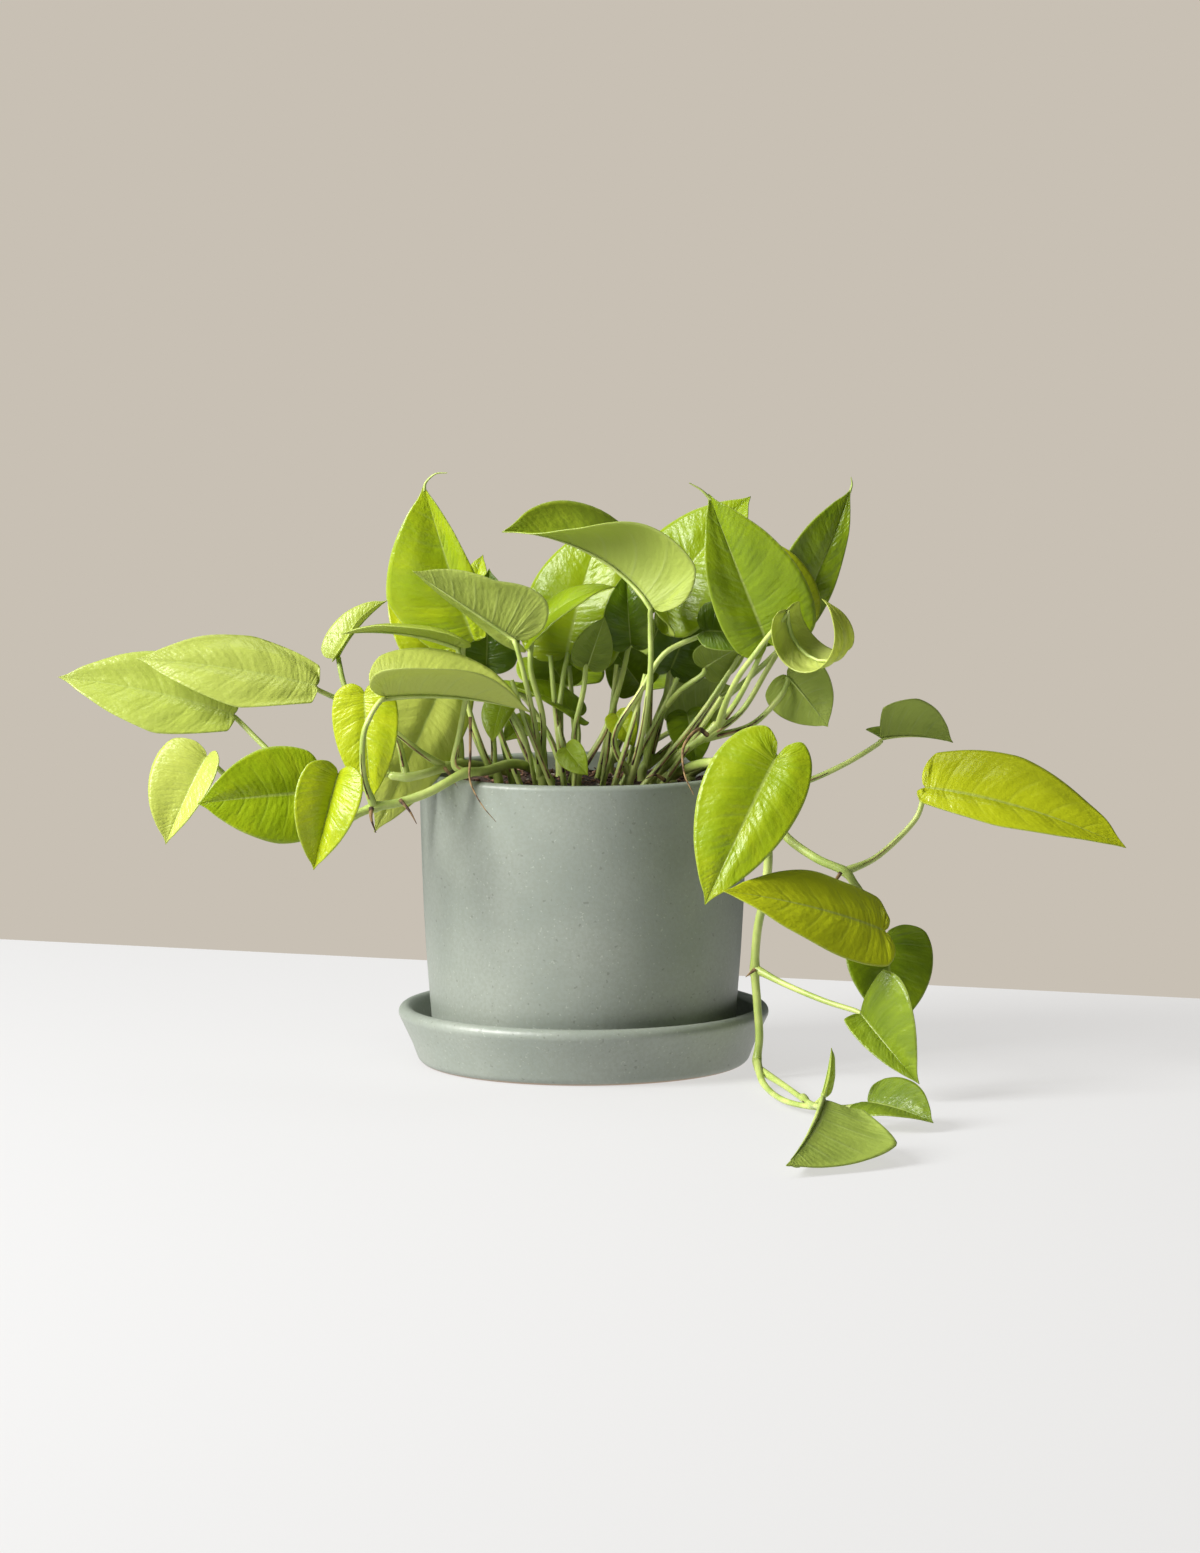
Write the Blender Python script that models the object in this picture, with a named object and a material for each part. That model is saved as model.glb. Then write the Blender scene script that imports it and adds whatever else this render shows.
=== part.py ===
"""A pothos plant standing in its pot and saucer, in metres, +Z up, seen from the -Y side.

The origin is the centre of the saucer's flat underside. Saucer, pot, soil, each stem with its
leaf stalks, and each leaf blade are separate solids. Places in the calls below are millimetres.
"""

import math

import bmesh
import bpy
from mathutils import Matrix, Vector

MM = 0.001
SIDES_OF_STEM = 6
SIDES_OF_STALK = 5
TURNED_STEPS = 40
BLADE_THICKNESS = 1.1

for thing in list(bpy.data.objects):
    bpy.data.objects.remove(thing, do_unlink=True)


def material(name, colour, roughness):
    """One plain material: its colour and its roughness."""
    made = bpy.data.materials.new(name)
    made.use_nodes = True
    shader = made.node_tree.nodes["Principled BSDF"]
    shader.inputs["Base Color"].default_value = (*colour, 1.0)
    shader.inputs["Roughness"].default_value = roughness
    shader.inputs["Metallic"].default_value = 0.0
    return made


glazed_clay = material("glazed_clay", (0.33, 0.36, 0.30), 0.35)
potting_soil = material("potting_soil", (0.045, 0.03, 0.022), 0.95)
green_stem = material("green_stem", (0.32, 0.42, 0.11), 0.45)
green_leaf = material("green_leaf", (0.28, 0.42, 0.06), 0.4)


def placed(name, bm, made_of):
    """The finished mesh as a smooth-shaded object of this name."""
    bmesh.ops.recalc_face_normals(bm, faces=bm.faces)
    for face in bm.faces:
        face.smooth = True
    mesh = bpy.data.meshes.new(name)
    bm.to_mesh(mesh)
    bm.free()
    mesh.materials.append(made_of)
    made = bpy.data.objects.new(name, mesh)
    bpy.context.scene.collection.objects.link(made)
    return made


def turned(name, profile, made_of, ring=False):
    """A (radius, height) profile turned about Z. A ring profile closes on itself."""
    bm = bmesh.new()
    corners = [bm.verts.new((radius * MM, 0, height * MM)) for radius, height in profile]
    edges = [bm.edges.new(pair) for pair in zip(corners, corners[1:])]
    if ring:
        edges.append(bm.edges.new((corners[-1], corners[0])))
    bmesh.ops.spin(
        bm, geom=corners + edges, axis=(0, 0, 1), cent=(0, 0, 0), steps=TURNED_STEPS, angle=2 * math.pi
    )
    bmesh.ops.remove_doubles(bm, verts=bm.verts, dist=0.02 * MM)
    return placed(name, bm, made_of)


def smooth_path(points, steps):
    """Points along a smooth curve through every given point (Catmull-Rom)."""
    given = [Vector(point) for point in points]
    given = [2 * given[0] - given[1]] + given + [2 * given[-1] - given[-2]]
    path = []
    for before, start, end, after in zip(given, given[1:], given[2:], given[3:]):
        for step in range(steps):
            t = step / steps
            path.append(
                0.5
                * (
                    2 * start
                    + (end - before) * t
                    + (2 * before - 5 * start + 4 * end - after) * t**2
                    + (3 * start - before - 3 * end + after) * t**3
                )
            )
    return path + [given[-2]]


def tube(name, points, thick, thin, sides, steps):
    """A round rod along a smooth path, its diameter going from thick to thin, closed at both ends."""
    path = smooth_path(points, steps)
    first = Vector(points[1]) - Vector(points[0])
    last = Vector(points[-1]) - Vector(points[-2])
    bm = bmesh.new()
    rings = []
    across = None
    for index, place in enumerate(path):
        if index == 0:
            along = first.normalized()
        elif index == len(path) - 1:
            along = last.normalized()
        else:
            along = (path[index + 1] - path[index - 1]).normalized()
        if across is None:
            across = along.orthogonal()
        across = (across - across.dot(along) * along).normalized()
        beside = along.cross(across)
        radius = (thick + (thin - thick) * index / (len(path) - 1)) / 2
        ring = []
        for side in range(sides):
            angle = 2 * math.pi * side / sides
            around = math.cos(angle) * across + math.sin(angle) * beside
            ring.append(bm.verts.new((place + radius * around) * MM))
        rings.append(ring)
    for lower, upper in zip(rings, rings[1:]):
        for side in range(sides):
            after = (side + 1) % sides
            bm.faces.new((lower[side], lower[after], upper[after], upper[side]))
    bm.faces.new(rings[0])
    bm.faces.new(rings[-1])
    return placed(name, bm, green_stem)


def vine(name, stem, stalks, thick=5.0, thin=3.6):
    """A stem and the leaf stalks that leave it, united into one solid."""
    whole = tube(name, stem, thick, thin, SIDES_OF_STEM, 2)
    for number, points in enumerate(stalks):
        stalk = tube(f"{name}_stalk_{number}", points, 3.4, 2.2, SIDES_OF_STALK, 2)
        stalk.hide_render = True
        stalk.display_type = "WIRE"
        union = whole.modifiers.new(f"stalk_{number}", "BOOLEAN")
        union.operation = "UNION"
        union.solver = "EXACT"
        union.object = stalk


# Half the outline of a heart-shaped blade of length 1: for each vein, the place where it leaves
# the midrib, and the place (along, across) where it ends on the edge.
HALF_BLADE = (
    (0.00, -0.11, 0.05),
    (0.00, -0.16, 0.17),
    (0.01, -0.06, 0.32),
    (0.08, 0.14, 0.40),
    (0.24, 0.39, 0.385),
    (0.46, 0.64, 0.285),
    (0.70, 0.84, 0.14),
)
FULL_WIDTH = 0.80


def leaf(name, base, tip, face, arch, fold, width, twist=0, curl=30, lobe=0.6, sides=(1, 1), hips=1):
    """A blade from the end of its stalk to its tip.

    face is the way the upper side looks, arch how far the midrib bends down, fold how far the
    halves rise from the midrib, curl how far they bend down again, all in degrees. width is the
    blade's width over its length, lobe how deep the heart's notch is, sides each half's share
    of its full width, and hips how wide the blade is by its stalk.
    """
    start = Vector(base)
    chord = Vector(tip) - start
    ahead = chord.normalized()
    up = Vector(face)
    up = (up - up.dot(ahead) * ahead).normalized()
    bend = math.radians(max(arch, 1))
    length = chord.length * (bend / 2) / math.sin(bend / 2)
    rise = math.radians(fold)
    drop = math.radians(curl)
    half_width = length * width / 2

    def place(along, across):
        """The point of the blade at these shares of its length, across being signed."""
        turn = bend / 2 - bend * max(along, 0)
        radius = length / bend
        point = start + radius * (math.sin(bend / 2) - math.sin(turn)) * ahead
        point = point + radius * (math.cos(turn) - math.cos(bend / 2)) * up
        forward = math.cos(turn) * ahead + math.sin(turn) * up
        normal = math.cos(turn) * up - math.sin(turn) * ahead
        point = point + min(along, 0) * lobe * length * forward
        normal = Matrix.Rotation(math.radians(twist) * max(along, 0), 3, forward) @ normal
        sideways = normal.cross(forward)
        reach = abs(across) * length * width / FULL_WIDTH * sides[across > 0]
        curve = drop / half_width
        out = (math.sin(rise) - math.sin(rise - curve * reach)) / curve
        lift = (math.cos(rise - curve * reach) - math.cos(rise)) / curve
        return point + math.copysign(out, across) * sideways + lift * normal

    bm = bmesh.new()
    spine = {along: bm.verts.new(place(along, 0) * MM) for along, _, _ in HALF_BLADE}
    end = bm.verts.new(place(1, 0) * MM)
    for side in (-1, 1):
        rows = []
        for along, edge_along, full_across in HALF_BLADE:
            edge_across = full_across * (hips + (1 - hips) * min((edge_along + 0.16) / 0.55, 1))
            middle = bm.verts.new(
                place(along + 0.38 * (edge_along - along), side * 0.55 * edge_across) * MM
            )
            edge = bm.verts.new(place(edge_along, side * edge_across) * MM)
            rows.append((spine[along], middle, edge))
        for lower, upper in zip(rows, rows[1:]):
            for inner in (0, 1):
                corners = (lower[inner], lower[inner + 1], upper[inner + 1], upper[inner])
                corners = [corner for index, corner in enumerate(corners) if corner not in corners[:index]]
                bm.faces.new(corners if side < 0 else corners[::-1])
        inner, middle, edge = rows[-1]
        for corners in ((inner, middle, end), (middle, edge, end)):
            bm.faces.new(corners if side < 0 else corners[::-1])
    mesh = bpy.data.meshes.new(name)
    bm.to_mesh(mesh)
    bm.free()
    for polygon in mesh.polygons:
        polygon.use_smooth = True
    mesh.materials.append(green_leaf)
    blade = bpy.data.objects.new(name, mesh)
    bpy.context.scene.collection.objects.link(blade)
    thicken = blade.modifiers.new("thickness", "SOLIDIFY")
    thicken.thickness = BLADE_THICKNESS * MM
    thicken.offset = 0


turned(
    "saucer",
    (
        (0, 0), (67, 0), (70.2, 1.4), (71.6, 4.5), (75.2, 13.5), (78.6, 20), (79.3, 22.4), (78.6, 24.2),
        (76.4, 25), (74.2, 24.3), (73.2, 22.6), (71.2, 16), (68.6, 8.2), (66.4, 6.1), (0, 6),
    ),
    glazed_clay,
)
turned(
    "pot",
    (
        (6, 6.3), (60, 6.3), (63.1, 7.2), (64.2, 9.6), (65.8, 29), (67.2, 48), (68.8, 79), (69.7, 105),
        (70, 121), (69.6, 124.8), (67.6, 126.2), (65.6, 124.8), (65.1, 121), (64.4, 105), (62.2, 56),
        (60.2, 20), (58.2, 14.2), (54, 12.4), (6, 12.4),
    ),
    glazed_clay,
    ring=True,
)
turned(
    "soil",
    (
        (0, 12.7), (53.6, 12.7), (57.8, 14.6), (59.8, 20.2), (61.8, 56), (64.05, 105), (64.6, 118),
        (63.2, 119.4), (0, 119.4),
    ),
    potting_soil,
)

# The vine that climbs over the rim at the front left and hangs a little outside the pot.
vine(
    "vine_a",
    [
        (-15, -12, 119.9), (-15, -12, 123), (-28, -27, 131), (-41, -46, 130), (-50, -56, 130), (-64, -62, 123),
        (-76, -64, 119), (-87, -66, 117), (-97, -68, 113), (-110, -68, 107), (-118, -66, 104),
    ],
    [
        [(-49, -55, 130), (-54, -54, 134), (-52, -53, 145), (-50, -53, 156), (-48, -53, 168), (-50, -53.5, 174.5)],
        [(-87, -66, 117), (-91, -72, 131), (-91, -77, 147), (-88, -77, 156), (-84, -74, 162)],
        [(-109, -68, 107), (-106, -64, 113), (-107, -66, 119), (-110, -70, 122)],
        [(-97, -68, 113), (-99, -76, 121), (-100, -82, 127), (-101, -86, 131)],
        [(-118, -66, 104), (-121, -58, 119), (-129, -48, 135), (-139, -41, 145), (-145, -37, 150.5)],
        [(-118, -66, 104), (-131, -60, 111), (-144, -50, 123), (-152, -51, 131), (-156, -54.5, 135.5)],
    ],
)
leaf("leaf_a1", (-52, -53, 183), (-101, -52, 188), (-0.1, 0.05, 1), 30, 35, 0.44)
leaf("leaf_a2", (-82, -72, 164), (-22, -68, 157), (0.05, -0.1, 1), 25, 55, 0.8)
leaf("leaf_a3", (-112, -72, 124), (-159, -88, 121), (0.1, -0.95, 0.3), 18, 14, 0.85, hips=0.9)
leaf("leaf_a4", (-101, -88, 133), (-111, -92, 94), (-0.15, -1, 0.1), 20, 48, 0.8)
leaf("leaf_a5", (-147, -38, 153), (-221, -30, 168), (0, -0.75, 0.65), 22, 20, 0.52, -20, lobe=0.1, hips=0.4)
leaf("leaf_a6", (-157, -58, 137), (-174, -62, 101), (-0.45, -0.85, 0.2), 15, 32, 0.95, sides=(1, 0.6))

# The shorter vine beside it, ending on the rim.
vine(
    "vine_b",
    [
        (-30, 8, 119.9), (-30, 8, 123), (-44, -8, 128), (-52, -26, 131), (-58, -40, 131), (-66, -46, 129),
        (-74, -46, 127.5), (-82, -44, 128),
    ],
    [
        [(-58, -40, 131), (-68, -47, 138), (-81, -46, 148), (-97, -42, 157), (-110, -45, 163.5)],
        [(-52, -26, 131), (-52, -20, 140), (-55, -17, 153), (-59, -20, 162)],
        [(-74, -46, 127.5), (-78, -42, 143), (-85, -50, 157), (-90, -57, 163)],
        [(-82, -44, 128), (-91, -34, 146), (-100, -26, 162), (-103, -22, 173)],
    ],
)
leaf("leaf_b1", (-112, -48, 166), (-187, -44, 177), (0.05, -0.8, 0.6), 20, 16, 0.5, lobe=0.1, hips=0.35)
leaf("leaf_b2", (-60, -23, 164), (-88, -38, 103), (0.3, -0.9, 0.3), 22, 14, 0.5)
leaf("leaf_b3", (-91, -60, 164), (-88, -64, 119), (-0.2, -1, 0.1), 16, 16, 0.62)
leaf("leaf_b4", (-104, -19, 176), (-83, -14, 199), (-0.8, -0.5, 0.4), 30, 50, 0.6)

# Short shoots rising from the soil on the left, each with its leaves.
vine(
    "vine_f",
    [(-36, -22, 119.9), (-36, -22, 124), (-38, -22, 128)],
    [
        [(-38, -22, 126), (-43, -26, 138), (-49, -28, 158), (-50.5, -28, 180.5)],
        [(-38, -21, 125), (-38, -17, 138), (-40, -15, 157), (-41, -15, 170)],
        [(-38, -21, 125), (-46, -6, 140), (-53, 4, 156), (-55, 6.5, 165)],
    ],
)
leaf(
    "leaf_f1", (-46, -30, 184), (-67, -30, 249), (-0.25, -1, 0.1), 14, 24, 0.68, hips=0.45, lobe=0.1,
    sides=(0.5, 1.35)
)
leaf("leaf_f2", (-41, -16, 172), (-40, -6, 212), (0.05, -1, 0.2), 12, 34, 0.7)
leaf("leaf_f3", (-57, 4, 169), (-84, 14, 201), (-0.5, -0.6, 0.7), 35, 25, 0.6)
vine(
    "vine_g",
    [(-17, -33, 119.9), (-17, -33, 124), (-18, -33, 128)],
    [
        [(-18, -33, 126), (-20, -42, 147), (-24, -51, 168), (-27.5, -53.5, 182)],
        [(-18, -33, 126), (-17, -31, 150), (-22, -30, 170), (-22, -29, 181)],
        [(-18, -32, 125), (-30, -8, 147), (-43, 9, 168), (-47, 12, 181)],
    ],
)
leaf(
    "leaf_g1", (-29, -51, 186), (-71, -58, 215), (-0.25, 0.85, 0.5), -14, 30, 0.64, sides=(0.3, 1.05),
    hips=1.6, lobe=0.95
)
leaf("leaf_g2", (-22, -28, 184), (14, -30, 206), (-0.2, -0.3, 1), 55, 20, 0.6)
leaf("leaf_g3", (-48, 10, 184), (-43, 18, 216), (-0.2, -0.5, 0.6), 45, 30, 0.6)
vine(
    "vine_h",
    [(-3, -34, 119.9), (-3, -34, 124), (-3, -34, 128)],
    [
        [(-3, -34, 126), (-10, -24, 145), (-9, -13, 163), (-7, -8, 174)],
        [(-3, -34, 126), (-4, -30, 143), (0, -28, 162), (1, -27.5, 171.5)],
        [(-3, -34, 126), (9, -28, 145), (16, -18, 166), (19, -13, 178.5)],
    ],
)
leaf("leaf_h1", (-7, -6, 176), (9, 4, 233), (-0.35, -1, 0.25), 20, 14, 0.8)
leaf("leaf_h2", (2, -27, 173), (9, -25, 193), (0, 1, 0.25), 8, 18, 0.8)
leaf("leaf_h3", (20, -15, 181), (18, -11, 211), (-0.1, -1, 0.2), 30, 34, 0.75)

# The shoot behind them whose leaf arches over the top of the plant.
vine(
    "vine_i",
    [(19, -37, 119.9), (19, -37, 124), (20, -37, 128)],
    [
        [(20, -37, 126), (25, -42, 147), (28, -49, 172), (28, -49, 190)],
        [(20, -37, 126), (13, -38, 143), (24, -40, 163), (34, -42, 179), (48, -41, 186)],
    ],
)
leaf("leaf_i1", (29, -52, 199), (-34, -42, 230), (0.35, 0.8, 0.65), 78, 46, 0.8, -98)
leaf("leaf_i2", (51, -40, 188), (82, -34, 182), (0.1, -0.75, 0.75), 35, 35, 0.9)

# The stout leaning shoot on the right, with the tall front leaf and the curled one.
vine(
    "vine_j",
    [(28, -18, 119.9), (28, -18, 123), (33, -21, 128), (42, -26, 136), (51, -30, 143), (57, -31, 149)],
    [
        [(57, -31, 148), (64, -38, 158), (71, -44, 172), (75.5, -49, 183)],
        [(51, -30, 142), (66, -31, 153), (77, -26, 170), (87, -21.5, 187)],
        [(57, -31, 148), (60, -48, 160), (65, -63, 172), (71, -69, 181), (76, -71, 188)],
        [(51, -30, 142), (70, -27, 147), (82, -26, 158), (86, -24, 165)],
    ],
)
leaf("leaf_j1", (76, -52, 186), (52, -56, 247), (-0.2, -1, 0.15), 14, 26, 0.72, sides=(1.1, 0.65))
leaf("leaf_j2", (84, -24, 190), (75, -20, 227), (0.3, -1, 0.2), 20, 18, 0.95)
leaf("leaf_j3", (84, -76, 200), (98, -92, 206), (0.1, 0.35, -1), 268, 4, 0.34, curl=16, lobe=0.1, hips=0.8)
leaf("leaf_j4", (86, -23, 168), (103, -30, 147), (0.1, 0.9, 0.4), 18, 14, 1.1)

# The shoot in the middle of the pot, with the tall leaves behind.
vine(
    "vine_k",
    [(25, 8, 119.9), (25, 8, 124), (27, 8, 128)],
    [
        [(27, 8, 126), (50, 0, 147), (79, -11, 174), (91, -14, 189)],
        [(27, 8, 126), (28, 3, 147), (29, -3, 173), (31, -7, 191)],
        [(27, 8, 126), (32, 6, 142), (35, 4, 157), (36.5, 2.5, 166)],
        [(27, 8, 126), (32, -6, 147), (40, -16, 160), (50, -20.5, 168)],
    ],
)
leaf("leaf_k1", (92, -14, 193.5), (113, -10, 246), (0.3, -1, 0.1), 10, 22, 0.62, sides=(0.5, 1))
leaf("leaf_k2", (31, -8, 194), (71, 2, 242), (-0.4, -0.9, 0.45), 18, 16, 0.75)
leaf("leaf_k3", (37, 0, 169), (51, 4, 207), (0.5, -0.8, 0.1), 14, 30, 0.8)
leaf("leaf_k4", (51, -18, 171), (71, -20, 182), (-0.1, 0.8, 0.6), 20, 14, 1.0)

# Two low shoots at the back, their leaves leaning away over the rim.
vine(
    "vine_m",
    [(-10, 24, 119.9), (-10, 24, 124), (-10, 25, 128)],
    [
        [(-10, 25, 126), (-16, 29, 139), (-24, 33, 151)],
        [(-10, 25, 126), (-10, 35, 141), (-10, 42, 155)],
    ],
)
leaf("leaf_m1", (-26, 34, 154), (-60, 64, 152), (-0.4, 0.5, 0.8), 40, 22, 0.75)
leaf("leaf_m2", (-10, 44, 158), (-12, 94, 160), (0, 0.6, 0.8), 45, 20, 0.75)
vine(
    "vine_n",
    [(11, 33, 119.9), (11, 33, 124), (12, 34, 128)],
    [
        [(12, 34, 126), (18, 42, 138), (24, 47, 152)],
        [(12, 34, 126), (26, 43, 131), (38, 49, 137)],
        [(12, 34, 126), (13, 40, 146), (14, 45, 169)],
    ],
)
leaf("leaf_n1", (25, 48, 157), (44, 86, 164), (0.4, 0.6, 0.7), 40, 22, 0.75)
leaf("leaf_n2", (40, 51, 139), (66, 64, 155), (0.2, 0.9, 0.4), 30, 14, 0.95)
leaf("leaf_n3", (14, 46, 172), (15, 66, 206), (0, 1, 0.3), 20, 18, 0.8)

# The long vine that hangs over the rim at the front right and runs out along the table.
vine(
    "vine_c",
    [
        (34, -14, 119.9), (34, -14, 123), (46, -28, 130), (56, -42, 133), (66, -54, 129), (73, -61, 116),
        (77, -62, 99), (76, -58, 81), (73, -53, 64), (72, -49, 47), (73, -49, 33), (74, -49, 18), (73, -50, 8),
        (74, -58, 4),
    ],
    [
        [(66, -54, 129), (69, -66, 136), (74, -80, 142), (79, -88, 141)],
        [(72, -49, 47), (84, -60, 42), (100, -74, 37), (113, -83, 34)],
        [(73, -50, 8), (75, -80, 3), (82, -122, 3), (94, -146, 4), (106, -158, 6), (113, -163, 8)],
        [(74, -56, 5), (83, -90, 4), (91, -130, 4), (94, -180, 10), (95, -222, 17)],
        [(90, -122, 4), (93, -148, 5), (97, -157, 10)],
    ],
)
leaf("leaf_c1", (79, -92, 140), (50, -104, 81), (0, -1, 0.35), 16, 16, 0.7, lobe=1, sides=(1, 0.8))
leaf(
    "leaf_c2", (115, -86, 33), (138, -112, 8), (-0.35, -0.9, 0.3), 14, 46, 1.05, lobe=0.15, sides=(0.4, 1.2)
)
leaf("leaf_c3", (115, -165, 9), (140, -184, 4), (0.05, -0.5, 0.86), 20, 32, 0.95, lobe=0.4)
leaf(
    "leaf_c4", (95, -226, 20), (78, -288, 5), (0.6, 0, -0.8), 14, 58, 0.95, lobe=0.1, sides=(1.1,
    0.35), hips=0.3
)
leaf("leaf_c5", (97, -159, 12), (100, -163, 31), (0.9, -0.4, 0.1), 10, 40, 0.45)

# A short branch to the right, behind it.
vine(
    "vine_d",
    [(46, 8, 119.9), (46, 8, 123), (54, 0, 128), (64, -12, 129), (76, -20, 124), (87, -21, 121)],
    [
        [(86, -21, 121), (97, -22, 124), (112, -21, 131), (124, -18, 138)],
    ],
    thick=4.4,
    thin=3.4,
)
leaf("leaf_d1", (126, -18, 141), (157, -8, 138), (0, 0.5, 0.85), 30, 50, 1.2, lobe=0.1, hips=0.7)

# The vine that reaches out over the rim at the right and carries the three large pale leaves.
vine(
    "vine_e",
    [
        (38, -2, 119.9), (38, -2, 123), (50, -17, 130), (62, -34, 131), (75, -44, 119), (84, -51, 104), (97, -60, 95),
        (109, -66, 90), (114, -68, 83), (119, -67, 76),
    ],
    [
        [(109, -66, 90), (123, -61, 96), (138, -57, 110), (142, -56, 120)],
        [(114, -68, 83), (120, -74, 78), (122, -79, 74)],
        [(118, -67, 77), (123, -65, 70), (124.5, -64.5, 66)],
    ],
)
leaf(
    "leaf_e1", (143, -56, 124), (226, -66, 100), (0.25, -0.75, 0.6), 30, 14, 0.62, lobe=0.2, hips=0.6,
    sides=(0.5, 1.05)
)
leaf("leaf_e2", (124, -86, 68), (57, -113, 88), (-0.35, -0.65, 0.65), 20, 12, 0.56, lobe=0.35)
leaf("leaf_e3", (126, -66, 63), (129, -76, 24), (0.25, -0.95, 0.2), 14, 22, 0.95)
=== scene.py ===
"""The looks of a golden pothos in its glazed pot and saucer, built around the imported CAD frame."""

import math
import random

import bmesh
import bpy
from mathutils import Matrix, Vector, noise


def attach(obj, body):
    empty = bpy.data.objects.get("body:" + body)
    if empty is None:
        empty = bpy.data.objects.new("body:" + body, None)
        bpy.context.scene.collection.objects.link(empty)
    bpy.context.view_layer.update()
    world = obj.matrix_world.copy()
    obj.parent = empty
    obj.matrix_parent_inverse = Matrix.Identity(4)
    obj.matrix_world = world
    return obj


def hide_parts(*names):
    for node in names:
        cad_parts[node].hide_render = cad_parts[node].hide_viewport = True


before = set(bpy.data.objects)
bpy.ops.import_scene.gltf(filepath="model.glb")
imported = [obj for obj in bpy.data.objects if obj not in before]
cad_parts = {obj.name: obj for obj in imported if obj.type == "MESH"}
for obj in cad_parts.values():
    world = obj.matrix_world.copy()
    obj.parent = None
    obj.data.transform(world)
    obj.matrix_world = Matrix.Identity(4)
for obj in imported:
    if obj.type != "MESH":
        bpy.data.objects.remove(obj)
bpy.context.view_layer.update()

# The camera looks at the plant from the front and a little above, from far enough away that
# the pot's sides stay almost parallel.
camera = bpy.data.objects.new("camera", bpy.data.cameras.new("camera"))
bpy.context.scene.collection.objects.link(camera)
camera.location = (0.007, -2.6, 0.411)
camera.rotation_euler = (math.radians(90 - 6.33), 0, 0)
camera.data.lens = 142.2
camera.data.clip_start = 0.1
bpy.context.scene.camera = camera

# The room: a white table whose far edge runs a little askew, a plain warm wall a long way behind
# it, one large soft light from the left and a little in front, and only weak light from elsewhere.
scene = bpy.context.scene
scene.view_settings.view_transform = "Standard"
world = bpy.data.worlds.new("room")
scene.world = world
world.use_nodes = True
world.node_tree.nodes["Background"].inputs["Color"].default_value = (0.93, 0.97, 1.0, 1)
world.node_tree.nodes["Background"].inputs["Strength"].default_value = 0.095


def lamp(name, place, aim, across, tall, watts, colour):
    """A rectangular soft box at a place, turned to look at a point."""
    light = bpy.data.lights.new(name, "AREA")
    light.shape = "RECTANGLE"
    light.size = across
    light.size_y = tall
    light.energy = watts
    light.color = colour
    made = bpy.data.objects.new(name, light)
    made.location = place
    made.rotation_euler = (Vector(aim) - Vector(place)).to_track_quat("-Z", "Y").to_euler()
    bpy.context.scene.collection.objects.link(made)


lamp("window", (-1.5, -0.72, 1.15), (0, 0, 0.12), 0.9, 1.1, 84, (1.0, 0.99, 0.965))
lamp("overhead", (-0.3, 0.35, 1.7), (0, 0, 0.1), 1.0, 1.0, 7, (0.98, 0.99, 1.0))

wall_bm = bmesh.new()
bmesh.ops.create_icosphere(wall_bm, subdivisions=4, radius=8)
bmesh.ops.reverse_faces(wall_bm, faces=wall_bm.faces)
wall_mesh = bpy.data.meshes.new("wall")
wall_bm.to_mesh(wall_mesh)
wall_bm.free()
wall = bpy.data.objects.new("wall", wall_mesh)
bpy.context.scene.collection.objects.link(wall)
wall_paint = bpy.data.materials.new("warm_wall")
wall_paint.use_nodes = True
wall_tree = wall_paint.node_tree
wall_tree.nodes.remove(wall_tree.nodes["Principled BSDF"])
paint = wall_tree.nodes.new("ShaderNodeEmission")
paint.inputs["Color"].default_value = (0.578, 0.527, 0.456, 1)
wall_tree.links.new(paint.outputs["Emission"], wall_tree.nodes["Material Output"].inputs["Surface"])
wall_mesh.materials.append(wall_paint)
wall.visible_diffuse = False
wall.visible_glossy = False
wall.visible_transmission = False
wall.visible_shadow = False

table_bm = bmesh.new()
bmesh.ops.create_grid(table_bm, x_segments=1, y_segments=1, size=1.5)
bmesh.ops.translate(table_bm, vec=(0, -1.5, 0), verts=table_bm.verts)
askew = Matrix.Rotation(math.radians(-19.3), 3, "Z")
bmesh.ops.rotate(table_bm, cent=(0, 0, 0), matrix=askew, verts=table_bm.verts)
bmesh.ops.translate(table_bm, vec=(0, 0.281, 0), verts=table_bm.verts)
table_mesh = bpy.data.meshes.new("table")
table_bm.to_mesh(table_mesh)
table_bm.free()
table = bpy.data.objects.new("table", table_mesh)
bpy.context.scene.collection.objects.link(table)
table_top = bpy.data.materials.new("white_table")
table_top.use_nodes = True
table_shader = table_top.node_tree.nodes["Principled BSDF"]
table_shader.inputs["Base Color"].default_value = (0.165, 0.17, 0.178, 1)
table_shader.inputs["Roughness"].default_value = 0.85
table_shader.inputs["Specular IOR Level"].default_value = 0.1
table_shader.inputs["Emission Color"].default_value = (0.975, 0.955, 0.93, 1)
table_shader.inputs["Emission Strength"].default_value = 0.64
table_mesh.materials.append(table_top)

# The saucer: a shallow dish thrown in stoneware, with a flared wall and a thick round lip, dipped
# in a satin sage glaze that is wiped back from the foot, so a thin line of bare clay shows there.
MM = 0.001


def node(tree, kind, settings=None, **sockets):
    """A shader node with its settings, and its sockets given a value or a link."""
    made = tree.nodes.new(kind)
    for key, value in (settings or {}).items():
        setattr(made, key, value)
    for key, value in sockets.items():
        wire(tree, value, made.inputs[key.replace("_", " ")])
    return made


def wire(tree, value, socket):
    """Links an output to the socket, or sets the socket's own value."""
    if isinstance(value, bpy.types.NodeSocket):
        tree.links.new(value, socket)
    else:
        socket.default_value = value


def maths(tree, operation, first, second=0.0):
    """The result of one sum on one or two values."""
    made = tree.nodes.new("ShaderNodeMath")
    made.operation = operation
    wire(tree, first, made.inputs[0])
    wire(tree, second, made.inputs[1])
    return made.outputs[0]


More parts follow.
